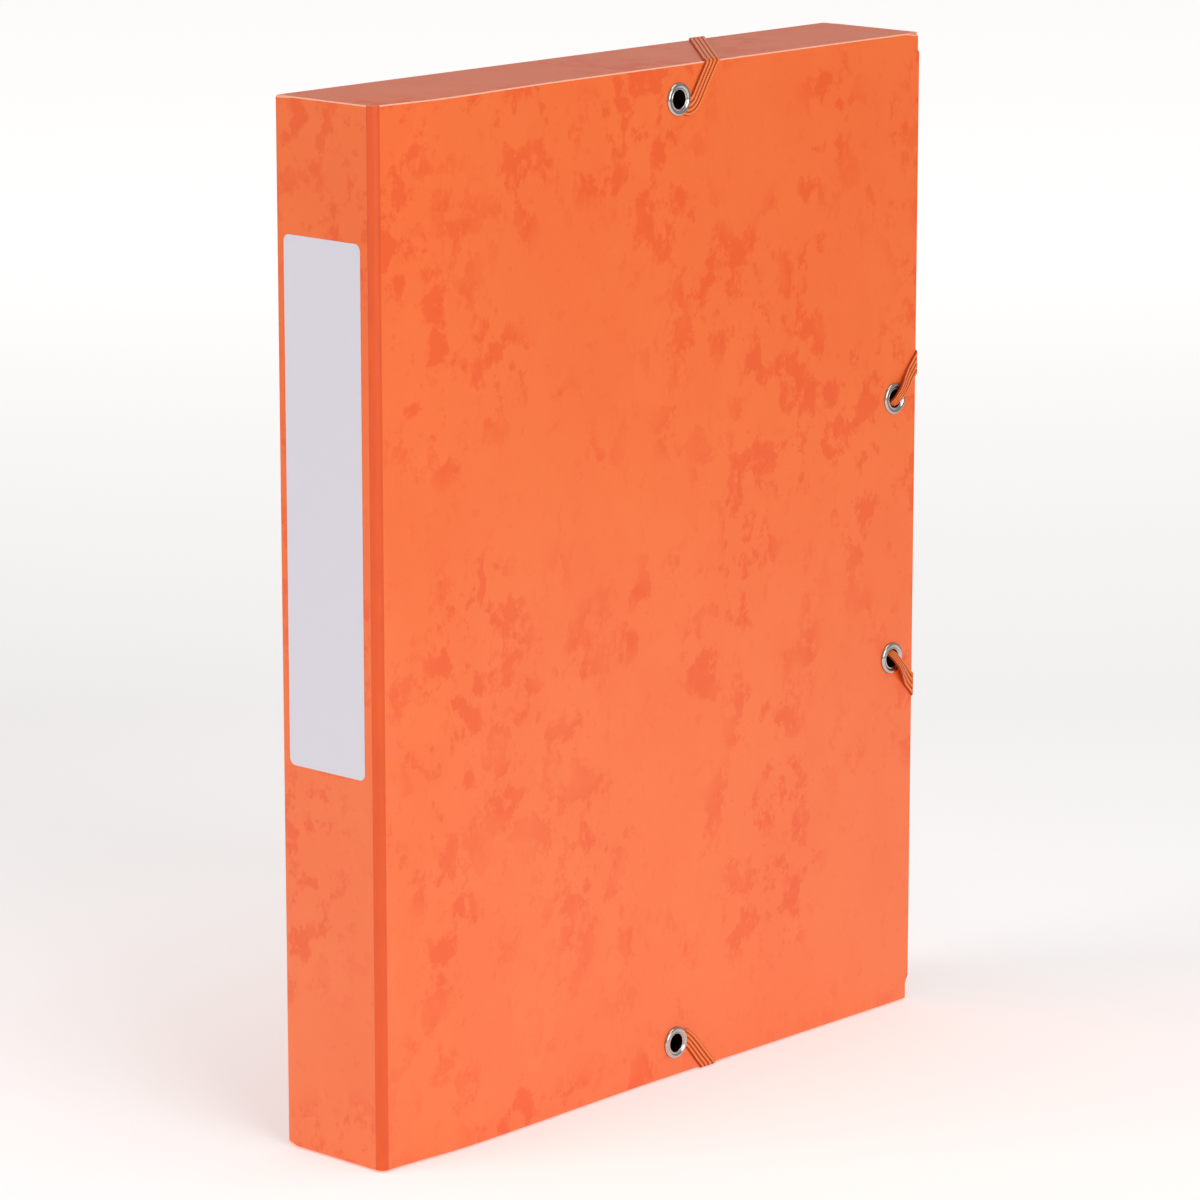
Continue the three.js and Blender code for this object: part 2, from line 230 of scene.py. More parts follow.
def cloud_mask(tree, size, spread, low, high, seed):
    """Feathered clouds: a noise of about the given size, sharpened between two levels."""
    place = stretched_place(tree, (1.0, 1.0, CLOUD_STRETCH))
    grain = add_node(
        tree,
        "ShaderNodeTexNoise",
        {
            "noise_dimensions": "4D",
            "W": seed,
            "Scale": 1 / size,
            "Detail": 7.0,
            "Roughness": spread,
            "Distortion": 0.15,
        },
        {"Vector": place.outputs["Vector"]},
    )
    return add_node(
        tree,
        "ShaderNodeMapRange",
        {"interpolation_type": "SMOOTHSTEP", "From Min": low, "From Max": high},
        {"Value": grain.outputs["Fac"]},
    )


def glazed_card(settings):
    """Pressboard, calendered and glazed: a mottled ground under a thin hard gloss, so highlights are soft."""
    made, tree = new_material("glazed_pressboard")
    patches = cloud_mask(tree, *PATCHES)
    groups = cloud_mask(tree, *PATCH_GROUPS)
    flecks = cloud_mask(tree, *FLECKS)
    haze = cloud_mask(tree, *HAZE)
    grouped = add_node(
        tree,
        "ShaderNodeMath",
        {"operation": "MULTIPLY"},
        {0: patches.outputs["Result"], 1: groups.outputs["Result"]},
    )
    strong = add_node(
        tree, "ShaderNodeMath", {"operation": "MULTIPLY", 1: PATCH_SHARE}, {0: grouped.outputs["Value"]}
    )
    with_flecks = add_node(
        tree,
        "ShaderNodeMath",
        {"operation": "MULTIPLY_ADD", 1: FLECK_SHARE},
        {0: flecks.outputs["Result"], 2: strong.outputs["Value"]},
    )
    share = add_node(
        tree,
        "ShaderNodeMath",
        {"operation": "MULTIPLY_ADD", 1: HAZE_SHARE, "use_clamp": True},
        {0: haze.outputs["Result"], 2: with_flecks.outputs["Value"]},
    )
    tone = add_node(
        tree,
        "ShaderNodeMix",
        {"data_type": "RGBA", 6: settings.face[:], 7: settings.cloud[:]},
        {0: share.outputs["Value"]},
    )
    place = stretched_place(tree, (1.0, 1.0, 0.6))
    fibre = add_node(
        tree,
        "ShaderNodeTexNoise",
        {"Scale": 1 / (0.9 * MM), "Detail": 3.0, "Roughness": 0.6},
        {"Vector": place.outputs["Vector"]},
    )
    felt = add_node(
        tree,
        "ShaderNodeTexNoise",
        {"Scale": 1 / (9 * MM), "Detail": 2.0, "Roughness": 0.5},
        {"Vector": place.outputs["Vector"]},
    )
    fine = add_node(
        tree, "ShaderNodeBump", {"Strength": 0.10, "Distance": 0.02 * MM}, {"Height": fibre.outputs["Fac"]}
    )
    bump = add_node(
        tree,
        "ShaderNodeBump",
        {"Strength": 0.35, "Distance": 0.10 * MM},
        {"Height": felt.outputs["Fac"], "Normal": fine.outputs["Normal"]},
    )
    gloss = add_node(
        tree,
        "ShaderNodeMapRange",
        {"To Min": 0.40, "To Max": 0.50},
        {"Value": share.outputs["Value"]},
    )
    shader = add_node(
        tree,
        "ShaderNodeBsdfPrincipled",
        {"IOR": 1.5, "Coat Weight": 0.55, "Coat Roughness": 0.30, "Coat IOR": 1.5},
        {
            "Base Color": tone.outputs[2],
            "Roughness": gloss.outputs["Result"],
            "Normal": bump.outputs["Normal"],
        },
    )
    finish_material(tree, shader)
    return made


def cut_board(settings):
    """Pressboard cut with a die: the dyed core shows paler and without gloss, a fine line of light."""
    made, tree = new_material("cut_pressboard_edge")
    place = stretched_place(tree, (1.0, 1.0, 1.0))
    grain = add_node(
        tree,
        "ShaderNodeTexNoise",
        {"Scale": 1 / (1.5 * MM), "Detail": 3.0},
        {"Vector": place.outputs["Vector"]},
    )
    dye = add_node(tree, "ShaderNodeMapRange", {"To Max": 0.35}, {"Value": grain.outputs["Fac"]})
    tone = add_node(
        tree,
        "ShaderNodeMix",
        {"data_type": "RGBA", 6: settings.edge[:], 7: settings.face[:]},
        {0: dye.outputs["Result"]},
    )
    shader = add_node(
        tree, "ShaderNodeBsdfPrincipled", {"Roughness": 0.85, "IOR": 1.45}, {"Base Color": tone.outputs[2]}
    )
    finish_material(tree, shader)
    return made


def creased_board(settings):
    """Pressboard scored and folded: the glaze is crushed, so the fold is darker and duller than the faces."""
    made, tree = new_material("creased_pressboard")
    place = stretched_place(tree, (1.0, 1.0, 0.25))
    crush = add_node(
        tree,
        "ShaderNodeTexNoise",
        {"Scale": 1 / (3 * MM), "Detail": 4.0, "Roughness": 0.6},
        {"Vector": place.outputs["Vector"]},
    )
    tone = add_node(
        tree,
        "ShaderNodeMix",
        {"data_type": "RGBA", 6: settings.crease[:], 7: settings.cloud[:]},
        {0: crush.outputs["Fac"]},
    )
    bump = add_node(
        tree, "ShaderNodeBump", {"Strength": 0.4, "Distance": 0.08 * MM}, {"Height": crush.outputs["Fac"]}
    )
    shader = add_node(
        tree,
        "ShaderNodeBsdfPrincipled",
        {"Roughness": 0.5, "IOR": 1.5},
        {"Base Color": tone.outputs[2], "Normal": bump.outputs["Normal"]},
    )
    finish_material(tree, shader)
    return made


def label_paper(settings):
    """Coated label paper, matt calendered: even and slightly cool, with a faint fibre grain."""
    made, tree = new_material("matt_label_paper")
    place = stretched_place(tree, (1.0, 1.0, 1.0))
    fibre = add_node(
        tree,
        "ShaderNodeTexNoise",
        {"Scale": 1 / (0.6 * MM), "Detail": 4.0, "Roughness": 0.7},
        {"Vector": place.outputs["Vector"]},
    )
    tint = add_node(
        tree,
        "ShaderNodeMapRange",
        {"To Min": 0.97, "To Max": 1.0},
        {"Value": fibre.outputs["Fac"]},
    )
    tone = add_node(
        tree,
        "ShaderNodeMix",
        {"data_type": "RGBA", "blend_type": "MULTIPLY", 0: 1.0, 6: settings.paper[:]},
        {7: tint.outputs["Result"]},
    )
    bump = add_node(
        tree, "ShaderNodeBump", {"Strength": 0.15, "Distance": 0.01 * MM}, {"Height": fibre.outputs["Fac"]}
    )
    shader = add_node(
        tree,
        "ShaderNodeBsdfPrincipled",
        {"Roughness": 0.55, "IOR": 1.48},
        {"Base Color": tone.outputs[2], "Normal": bump.outputs["Normal"]},
    )
    finish_material(tree, shader)
    return made


def nickel_plate(settings):
    """Nickel-plated brass, drawn and tumbled: a bright mirror with small rubs."""
    made, tree = new_material("nickel_plated_brass")
    place = stretched_place(tree, (1.0, 1.0, 1.0))
    rub = add_node(
        tree,
        "ShaderNodeTexNoise",
        {"Scale": 1 / (1.2 * MM), "Detail": 5.0, "Roughness": 0.65},
        {"Vector": place.outputs["Vector"]},
    )
    dull = add_node(
        tree,
        "ShaderNodeMapRange",
        {"To Min": 0.07, "To Max": 0.22},
        {"Value": rub.outputs["Fac"]},
    )
    shader = add_node(
        tree,
        "ShaderNodeBsdfPrincipled",
        {"Base Color": settings.plate[:], "Metallic": 1.0},
        {"Roughness": dull.outputs["Result"]},
    )
    finish_material(tree, shader)
    return made


def covered_elastic(settings, name, code, depth):
    """Rubber cores wound with polyester yarn: matt ribs crossed by fine slanted threads, with painted shade
    darkening the yarn between the threads.
    """
    made, tree = new_material(name)
    place = add_node(tree, "ShaderNodeTexCoord")
    turned = add_node(
        tree,
        "ShaderNodeMapping",
        {"Scale": (1 / MM, 1 / MM, 1.0), "Rotation": (0, 0, math.radians(THREAD_SLANT))},
        {"Vector": place.outputs["UV"]},
    )
    thread = add_node(
        tree,
        "ShaderNodeTexWave",
        {"Scale": THREAD_SCALE, "Distortion": 0.6, "Detail": 1.0, "Detail Scale": 1.0},
        {"Vector": turned.outputs["Vector"]},
    )
    # Painted shade: the yarn colour darkens between the threads, by the given depth.
    shade = add_node(
        tree, "ShaderNodeMapRange", {"To Min": 1 - depth, "To Max": 1.0}, {"Value": thread.outputs["Fac"]}
    )
    tone = add_node(
        tree,
        "ShaderNodeMix",
        {"data_type": "RGBA", "blend_type": "MULTIPLY", 0: 1.0, 6: code[:]},
        {7: shade.outputs["Result"]},
    )
    bump = add_node(
        tree, "ShaderNodeBump", {"Strength": 0.5, "Distance": 0.06 * MM}, {"Height": thread.outputs["Fac"]}
    )
    shader = add_node(
        tree,
        "ShaderNodeBsdfPrincipled",
        {"Roughness": 0.8, "IOR": 1.5, "Sheen Weight": 0.15, "Sheen Roughness": 0.4},
        {"Base Color": tone.outputs[2], "Normal": bump.outputs["Normal"]},
    )
    finish_material(tree, shader)
    return made


def glowing_seamless_paper():
    """A runner of white seamless paper on a grey studio floor that glows, more strongly far behind the file:
    painted light that brightens the floor and lights the file. Matt, so the gloss of the card mirrors white
    low down and grey higher up."""
    made, tree = new_material("seamless_studio_paper")
    place = add_node(tree, "ShaderNodeTexCoord")
    turned = add_node(
        tree,
        "ShaderNodeMapping",
        {"Rotation": (0, 0, -math.radians(RUNNER_AZIMUTH))},
        {"Vector": place.outputs["Object"]},
    )
    parts = add_node(tree, "ShaderNodeSeparateXYZ", links={0: turned.outputs["Vector"]})
    aside = add_node(tree, "ShaderNodeMath", {"operation": "ABSOLUTE"}, {0: parts.outputs["X"]})
    beyond = add_node(
        tree,
        "ShaderNodeMapRange",
        {
            "interpolation_type": "SMOOTHSTEP",
            "From Min": RUNNER_HALF,
            "From Max": RUNNER_HALF + RUNNER_FADE,
        },
        {"Value": aside.outputs["Value"]},
    )
    tone = add_node(
        tree,
        "ShaderNodeMix",
        {"data_type": "RGBA", 6: linear("f7f6f5"), 7: linear("9c9b9b")},
        {0: beyond.outputs["Result"]},
    )
    # Painted light: the paper glows, more strongly farther behind the file.
    glow = add_node(
        tree,
        "ShaderNodeMapRange",
        {
            "From Min": GLOW_START,
            "From Max": GLOW_END,
            "To Min": NEAR_GLOW,
            "To Max": FAR_GLOW,
        },
        {"Value": parts.outputs["Y"]},
    )
    shader = add_node(
        tree,
        "ShaderNodeBsdfPrincipled",
        {"Roughness": 0.9, "IOR": 1.4},
        {
            "Base Color": tone.outputs[2],
            "Emission Color": tone.outputs[2],
            "Emission Strength": glow.outputs["Result"],
        },
    )
    finish_material(tree, shader)
    return made


def board_materials(settings):
    """The card's face, cut edge and crease, made once and shared."""
    names = ("glazed_pressboard", "cut_pressboard_edge", "creased_pressboard")
    if names[0] not in bpy.data.materials:
        glazed_card(settings)
        cut_board(settings)
        creased_board(settings)
    return [bpy.data.materials[name] for name in names]


# Meshes

EDGE_SLOT = 1
CREASE_SLOT = 2
RAW_RIM = 0.35 * MM
FOLD_STEPS = 6
WARP_MARGIN = 25 * MM
WARP_WAVES = (11, 8)

# The lid's bow beside the crease: where it is highest and where it ends, at the base and at the top
BOW_PEAK = (38 * MM, 26 * MM)
BOW_END = (128 * MM, 84 * MM)


def new_piece(name, bm, materials):
    """A mesh object from a bmesh, with its materials."""
    mesh = bpy.data.meshes.new(name)
    bm.normal_update()
    bm.to_mesh(mesh)
    bm.free()
    piece = bpy.data.objects.new(name, mesh)
    bpy.context.scene.collection.objects.link(piece)
    for material in materials:
        mesh.materials.append(material)
    return piece


def add_grid(bm, rows, slot, rim=None):
    """Quads between rows of vertices. A rim gives the columns whose last row shows the raw edge."""
    for number, (low, high) in enumerate(zip(rows, rows[1:])):
        for i in range(len(low) - 1):
            face = bm.faces.new((low[i], low[i + 1], high[i + 1], high[i]))
            raw = rim is not None and number == len(rows) - 2 and rim(i)
            face.material_index = EDGE_SLOT if raw else slot
            face.smooth = True


def add_card(bm, outer, inner, face_slot=0, rim=None):
    """A piece of card between two grids of points, face and back, closed by its cut edges."""
    faces = [[bm.verts.new(p) for p in row] for row in outer]
    backs = [[bm.verts.new(p) for p in row] for row in inner]
    add_grid(bm, faces, face_slot, rim)
    add_grid(bm, [list(reversed(row)) for row in backs], face_slot)
    rims = (
        (faces[0], backs[0]),
        (backs[-1], faces[-1]),
        ([row[0] for row in backs], [row[0] for row in faces]),
        ([row[-1] for row in faces], [row[-1] for row in backs]),
    )
    for one, two in rims:
        add_grid(bm, [two, one], EDGE_SLOT)
    for line in (faces[0], faces[-1], backs[0], backs[-1]):
        sharpen(bm, line)
    for rows in (faces, backs):
        sharpen(bm, [row[0] for row in rows])
        sharpen(bm, [row[-1] for row in rows])


def sharpen(bm, line):
    for one, two in zip(line, line[1:]):
        edge = bm.edges.get((one, two))
        if edge:
            edge.smooth = False


def steps(low, high, count):
    return [mix(low, high, i / count) for i in range(count + 1)]


def arc_pairs(centre, radius, thickness, start, end, count):
    """Pairs of face and back points on a fold, angles in degrees."""
    pairs = []
    for angle in steps(math.radians(start), math.radians(end), count):
        along = Vector((math.cos(angle), math.sin(angle)))
        pairs.append((centre + along * radius, centre + along * (radius - thickness)))
    return pairs


def slow_warp(x, z, amount):
    """The slow unevenness of a wide card panel, none at its edges."""
    fade = smooth(min(x, WIDTH - x) / WARP_MARGIN) * smooth(min(z, HEIGHT - z) / WARP_MARGIN)
    across, up = WARP_WAVES
    return amount * fade * noise.noise(Vector((x * across, 0.7, z * up)))


def lid_bow(settings, x, z):
    """How far the lid stands off its plane: most beside the crease, wider towards the base."""
    up = z / HEIGHT
    peak = mix(*BOW_PEAK, up)
    end = mix(*BOW_END, up)
    start = settings.crease_radius
    if x <= start or x >= end:
        return 0.0
    share = (x - start) / (peak - start) if x < peak else (end - x) / (end - peak)
    return settings.bow * smooth(share)


# Tray

# The spine's ends are cut back towards the back panel: run and rise
SPINE_LOW_RELIEF = (4.4 * MM, 1.6 * MM)
SPINE_TOP_RELIEF = (8.0 * MM, 0.6 * MM)
FORE_EDGE_RELIEF = (6.0 * MM, 0.4 * MM)

# The end walls sink a little beside the crease: how far, over what depth and over what length
SAG = 0.9 * MM
SAG_DEPTH = 9 * MM
SAG_LENGTH = 45 * MM


def wall_profile(settings):
    """Plan of the upright walls from crease to fore-edge, each place with its lowest and highest z."""
    thickness = settings.thickness
    fold = settings.fold_radius
    inset = Vector((thickness, 0))
    low_run, low_rise = SPINE_LOW_RELIEF
    top_run, top_drop = SPINE_TOP_RELIEF
    profile = []
    for y in steps(settings.crease_radius, DEPTH - fold, 26):
        back = DEPTH - y
        low = low_rise * max(0.0, 1 - back / low_run)
        high = HEIGHT - top_drop * max(0.0, 1 - back / top_run)
        profile.append((Vector((0, y)), Vector((0, y)) + inset, low, high))
    spine_fold = arc_pairs(Vector((fold, DEPTH - fold)), fold, thickness, 180, 90, FOLD_STEPS)
    for turn, (face, inner) in enumerate(spine_fold[1:], 1):
        share = turn / FOLD_STEPS
        profile.append((face, inner, mix(low_rise, fold, share), HEIGHT - mix(top_drop, fold, share)))
    for x in steps(fold, WIDTH - fold, 64)[1:]:
        place = Vector((x, DEPTH))
        profile.append((place, place - Vector((0, thickness)), fold, HEIGHT - fold))
    fore_run, fore_rise = FORE_EDGE_RELIEF
    fore_fold = arc_pairs(Vector((WIDTH - fold, DEPTH - fold)), fold, thickness, 90, 0, FOLD_STEPS)
    for turn, (face, inner) in enumerate(fore_fold[1:], 1):
        rise = mix(fore_rise, fold, 1 - turn / FOLD_STEPS)
        profile.append((face, inner, rise, HEIGHT - rise))
    for y in steps(DEPTH - fold, thickness + settings.seat_gap, 20)[1:]:
        place = Vector((WIDTH, y))
        rise = fore_rise * max(0.0, 1 - (DEPTH - y) / fore_run)
        profile.append((place, place - inset, rise, HEIGHT - rise))
    return profile


def add_upright_walls(bm, settings):
    """Spine, back panel and fore-edge wall, with their two folds."""
    outer, inner = [], []
    shares = steps(0, 1 - RAW_RIM / HEIGHT, 48) + [1.0]
    for share in shares:
        face_row, back_row = [], []
        for face, back, low, high in wall_profile(settings):
            z = mix(low, high, share)
            on_back = abs(face.y - DEPTH) < 1e-7
            give = slow_warp(face.x, z, settings.warp) if on_back else 0.0
            face_row.append(on_file(face.x, face.y - abs(give), z))
            back_row.append(on_file(back.x, back.y - abs(give), z))
        outer.append(face_row)
        inner.append(back_row)
    add_card(bm, outer, inner, rim=lambda column: outer[0][column].y < on_file(0, DEPTH, 0).y - 2 * MM)


def add_end_wall(bm, settings, upper):
    """The top or bottom wall, folded from the back panel. Its free edge follows the bowed lid."""
    thickness = settings.thickness
    fold = settings.fold_radius
    end = HEIGHT if upper else 0.0
    sign = 1 if upper else -1
    outer, inner = [], []
    for x in steps(thickness, WIDTH - thickness, 72):
        front = thickness + settings.seat_gap - lid_bow(settings, x, end)
        face_row, back_row = [], []
        for y in steps(front, DEPTH - fold, 16):
            near = math.exp(-(((y - front) / SAG_DEPTH) ** 2)) * math.exp(-((x / SAG_LENGTH) ** 2))
            sag = SAG * near * smooth(x / (2 * MM))
            face_row.append(on_file(x, y, end - sign * sag))
            back_row.append(on_file(x, y, end - sign * (sag + thickness)))
        for face, back in arc_pairs(Vector((DEPTH - fold, 0)), fold, thickness, 90, 0, FOLD_STEPS)[1:]:
            face_row.append(on_file(x, face.x, end + sign * (face.y - fold)))
            back_row.append(on_file(x, back.x, end + sign * (back.y - fold)))
        outer.append(face_row)
        inner.append(back_row)
    if upper:
        add_card(bm, outer, inner)
    else:
        add_card(bm, list(reversed(outer)), list(reversed(inner)))


TAB_LENGTH = 28 * MM
TAB_TAPER = 5 * MM
TAB_FRONT_MARGIN = 3 * MM
TAB_BACK_MARGIN = 2.5 * MM


def add_tab(bm, settings, at_fore_edge, upper):
    """A tab of an end wall, glued inside the spine or the fore-edge wall."""
    thickness = settings.thickness
    sign = 1 if upper else -1
    root = (HEIGHT if upper else 0.0) - sign * thickness
    x = WIDTH - thickness if at_fore_edge else thickness
    inward = -thickness if at_fore_edge else thickness
    front, back = TAB_FRONT_MARGIN, DEPTH - thickness - TAB_BACK_MARGIN
    outer, inner = [], []
    for share in steps(0, 1, 6):
        z = root - sign * TAB_LENGTH * share
        narrow = TAB_TAPER * share
        ys = steps(front + narrow, back - narrow, 4)
        outer.append([on_file(x, y, z) for y in ys])
        inner.append([on_file(x + inward, y, z) for y in ys])
    add_card(bm, outer, inner)


def make_tray(settings):
    bm = bmesh.new()
    add_upright_walls(bm, settings)
    for upper in (True, False):
        add_end_wall(bm, settings, upper)
        for at_fore_edge in (True, False):
            add_tab(bm, settings, at_fore_edge, upper)
    bmesh.ops.recalc_face_normals(bm, faces=bm.faces)
    piece = new_piece("card_tray", bm, board_materials(settings))
    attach(piece, "tray")
    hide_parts("tray")


# Lid and crease

# The lid's fore-edge corners: run, drop and height of the top one's slope, then how far and how high each
# corner is set in, with the height over which the lower one steps back
LID_TOP_RELIEF = (7.0 * MM, 1.0 * MM, 6.0 * MM)
LID_TOP_SET_IN = (0.7 * MM, 5.8 * MM)
LID_LOW_SET_IN = (1.4 * MM, 5.0 * MM, 3.0 * MM)
HOLE_PLAY = 0.3 * MM
PUNCH_LENGTH = 10 * MM
EYELET_WALL = 0.25 * MM


def lid_fore_edge(z):
    """Where the lid's fore-edge runs: set in at both corners."""
    top_in, top_height = LID_TOP_SET_IN
    low_in, low_height, low_step = LID_LOW_SET_IN
    from_top = HEIGHT - z
    top = top_in * min(1.0, max(0.0, (top_height + top_in - from_top) / top_in))
    low = low_in * min(1.0, max(0.0, (low_height + low_step - z) / low_step))
    return WIDTH - max(top, low)


def lid_rows():
    """Heights of the lid's rows, close together where its corners are relieved."""
    top_in, top_height = LID_TOP_SET_IN
    _, low_height, low_step = LID_LOW_SET_IN
    low = [0.0, low_height, low_height + low_step / 2, low_height + low_step]
    high = [HEIGHT - drop for drop in (top_height + top_in, top_height, top_height / 2, RAW_RIM, 0.0)]
    return low + steps(low[-1], high[0], 84)[1:-1] + high


def make_lid(settings):
    bm = bmesh.new()
    thickness = settings.thickness
    crease = settings.crease_radius
    relief_run, relief_drop, relief_height = LID_TOP_RELIEF
    outer, inner = [], []
    shares = steps(0, 0.96, 84) + steps(0.96, 1.0, 8)[1:]
    for z in lid_rows():
        near_top = smooth((z - HEIGHT + relief_height) / relief_height)
        face_row, back_row = [], []
        for share in shares:
            x = mix(crease, lid_fore_edge(z), share)
            stand = lid_bow(settings, x, z) + slow_warp(x, z, settings.warp)
            drop = relief_drop * max(0.0, 1 - (WIDTH - x) / relief_run) * near_top
            face_row.append(on_file(x, -stand, z - drop))
            back_row.append(on_file(x, thickness - stand, z - drop))
        outer.append(face_row)
        inner.append(back_row)
    add_card(bm, outer, inner, rim=lambda column: True)
    bmesh.ops.recalc_face_normals(bm, faces=bm.faces)
    piece = new_piece("card_lid", bm, board_materials(settings))
    cut_eyelet_holes(piece)
    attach(piece, "lid")
    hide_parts("lid")


def cut_eyelet_holes(piece):
    """Punches the four holes through the lid."""
    radius = bpy.context.scene.boxfile_eyelet.bore + EYELET_WALL + HOLE_PLAY
    bm = bmesh.new()
    for name in EYELETS:
        x, z = eyelet_place(name)
        turn = Matrix.Translation(on_file(x, 0, z)) @ Matrix.Rotation(math.radians(90), 4, "X")
        bmesh.ops.create_cone(
            bm, cap_ends=True, segments=64, radius1=radius, radius2=radius, depth=PUNCH_LENGTH, matrix=turn
        )
    punches = new_piece("lid_punches", bm, [])
    cut = piece.modifiers.new("holes", "BOOLEAN")
    cut.object = punches
    cut.operation = "DIFFERENCE"
    cut.solver = "EXACT"
    bpy.context.view_layer.update()
    shown = piece.evaluated_get(bpy.context.evaluated_depsgraph_get())
    mesh = bpy.data.meshes.new_from_object(shown)
    piece.modifiers.clear()
    piece.data = mesh
    bpy.data.objects.remove(punches)


def make_crease(settings):
    """The fold between spine and lid, one bent strip of card that joins them."""
    bm = bmesh.new()
    thickness = settings.thickness
    radius = settings.crease_radius
    overlap = 0.4 * MM
    lift = 0.015 * MM
    centre = Vector((radius, radius))
    pairs = [(Vector((-lift, radius + overlap)), Vector((thickness + lift, radius + overlap)))]
    pairs += arc_pairs(centre, radius + lift, thickness + 2 * lift, 180, 270, 16)
    pairs.append((Vector((radius + overlap, -lift)), Vector((radius + overlap, thickness + lift))))
    outer, inner = [], []
    for z in steps(0, HEIGHT, 60):
        outer.append([on_file(face.x, face.y, z) for face, _ in pairs])
        inner.append([on_file(back.x, back.y, z) for _, back in pairs])
    add_card(bm, outer, inner, face_slot=CREASE_SLOT)
    bmesh.ops.recalc_face_normals(bm, faces=bm.faces)
    piece = new_piece("card_crease", bm, board_materials(settings))
    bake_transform(piece)


# Label


def make_label(settings):
    low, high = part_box("spine_label")
    face_x = high.x - settings.thickness
    corner = settings.corner
    centres = (
        (high.y - corner, low.z + corner, 270),
        (high.y - corner, high.z - corner, 0),
        (low.y + corner, high.z - corner, 90),
        (low.y + corner, low.z + corner, 180),
    )
    outline = []
    for y, z, start in centres:
        for angle in steps(start, start + 90, 10):
            turn = math.radians(angle)
            outline.append((y + corner * math.cos(turn), z + corner * math.sin(turn)))
    bm = bmesh.new()
    soften = 0.04 * MM
    middle = Vector(((low.y + high.y) / 2, (low.z + high.z) / 2))
    rings = []
    for x, inset in ((high.x, 0.0), (face_x + soften, 0.0), (face_x, soften)):
        ring = []
        for y, z in outline:
            pull = (middle - Vector((y, z))).normalized() * inset
            ring.append(bm.verts.new((x, y + pull.x, z + pull.y)))
        rings.append(ring + ring[:1])
    for one, two in zip(rings, rings[1:]):
        add_grid(bm, [one, two], 0)
    bm.faces.new(rings[-1][:-1])
    bm.faces.new(reversed(rings[0][:-1]))
    bmesh.ops.recalc_face_normals(bm, faces=bm.faces)
    piece = new_piece("paper_label", bm, [label_paper(settings)])
    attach(piece, "tray")
    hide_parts("spine_label")


# Eyelets

EYELET_SIDES = 96
CLINCH_STEP_IN = 0.8 * MM

# The flange's outer roll: its radius as a share of the flange, how full it is, and where its groove starts
# (degrees) and how high it lies. Heights here and in the lip are shares of the flange's own.
ROLL_SHARE = 0.36
ROLL_FULLNESS = 0.8
GROOVE_START = 150
GROOVE_HEIGHT = 0.56

# The raised lip round the bore: mm out from the bore, and height
LIP = ((0.54, 0.58), (0.42, 0.70), (0.26, 0.70), (0.08, 0.52), (0.0, 0.25))


def eyelet_section(settings, flange, clinch, thickness):
    """Section of an eyelet, as radius and height over the lid: flange, raised lip, tube and clinch."""
    bore = settings.bore
    top = settings.flange_height
    deep = settings.clinch_height
    roll = (flange - bore) * ROLL_SHARE
    crest = flange - roll
    section = []
    for angle in steps(0, 180, 12):
        turn = math.radians(angle)
        height = math.sin(turn) ** ROLL_FULLNESS if angle < GROOVE_START else GROOVE_HEIGHT
        section.append((crest + roll * math.cos(turn), top * height))
    section += [(bore + out * MM, top * height) for out, height in LIP]
    section.append((bore, -thickness - deep * 0.5))
    middle = (bore + clinch) / 2
    half = (clinch - bore) / 2
    for angle in steps(180, 360, 10)[1:]:
        turn = math.radians(angle)
        section.append((middle + half * math.cos(turn), -thickness + deep * math.sin(turn)))
    section.append((bore + EYELET_WALL, -thickness))
    section.append((bore + EYELET_WALL, 0.0))
    return section


def make_eyelet(settings, name, material):
    """Turns one eyelet from its section."""
    x, z = eyelet_place(name)
    thickness = bpy.context.scene.boxfile_card.thickness
    section = eyelet_section(settings, FLANGE_RADIUS, FLANGE_RADIUS - CLINCH_STEP_IN, thickness)
    section.append(section[0])
    bm = bmesh.new()
    rings = []
    for side in range(EYELET_SIDES):
        turn = 2 * math.pi * side / EYELET_SIDES
        ring = [
            bm.verts.new(on_file(x + radius * math.cos(turn), -height, z + radius * math.sin(turn)))
            for radius, height in section[:-1]
        ]
        rings.append(ring + ring[:1])
    add_grid(bm, rings + rings[:1], 0)
    bmesh.ops.recalc_face_normals(bm, faces=bm.faces)
    piece = new_piece("plated_" + name, bm, [material])
    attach(piece, "lid")
    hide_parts(name)


# Elastic

BEND_SHARP = 0.35 * MM
CORNER_REACH = 20 * MM
STAND_FADE = 4 * MM
NEAR_EDGE = 4 * MM
EDGE_SPACING = 0.2 * MM
LOOP_SPACING = 1.5 * MM
INSIDE_SPACING = 4 * MM
RIB_VALLEY = 0.55

# The end eyelet's flange presses the elastic to this share, and holds it to this far inside its rim
FLANGE_PRESS = 0.35
CLAMPED_LENGTH = 1.3 * MM
PRESS_FADE = 1.2 * MM
PRESS_START = 0.2 * MM


class Station:
    """One place along the elastic on the file's faces laid flat: its middle, the way across it, and its width
    and thickness as shares of the elastic's own."""

    def __init__(self, place, heading, wide=1.0, thick=1.0, tilt=0.0):
        self.place = Vector(place)
        turn, lean = math.radians(heading), math.radians(tilt)
        level = Vector((math.sin(turn), -math.cos(turn), 0))
        self.across = level * math.cos(lean) + Vector((0, 0, math.sin(lean)))
        self.wide = wide
        self.thick = thick


def lid_stand(x, z):
    """How far the lid's face stands off its plane at a place."""
    card = bpy.context.scene.boxfile_card
    return lid_bow(card, x, z) + slow_warp(x, z, card.warp)


def bend(past, out, radius):
    """Goes over an edge: distances along the first face and off it, for a point past the edge."""
    if past <= -radius:
        return past, out
    if past >= radius:
        return out, -past
    angle = (past + radius) / (2 * radius) * math.pi / 2
    return -radius + (radius + out) * math.sin(angle), -radius + (radius + out) * math.cos(angle)


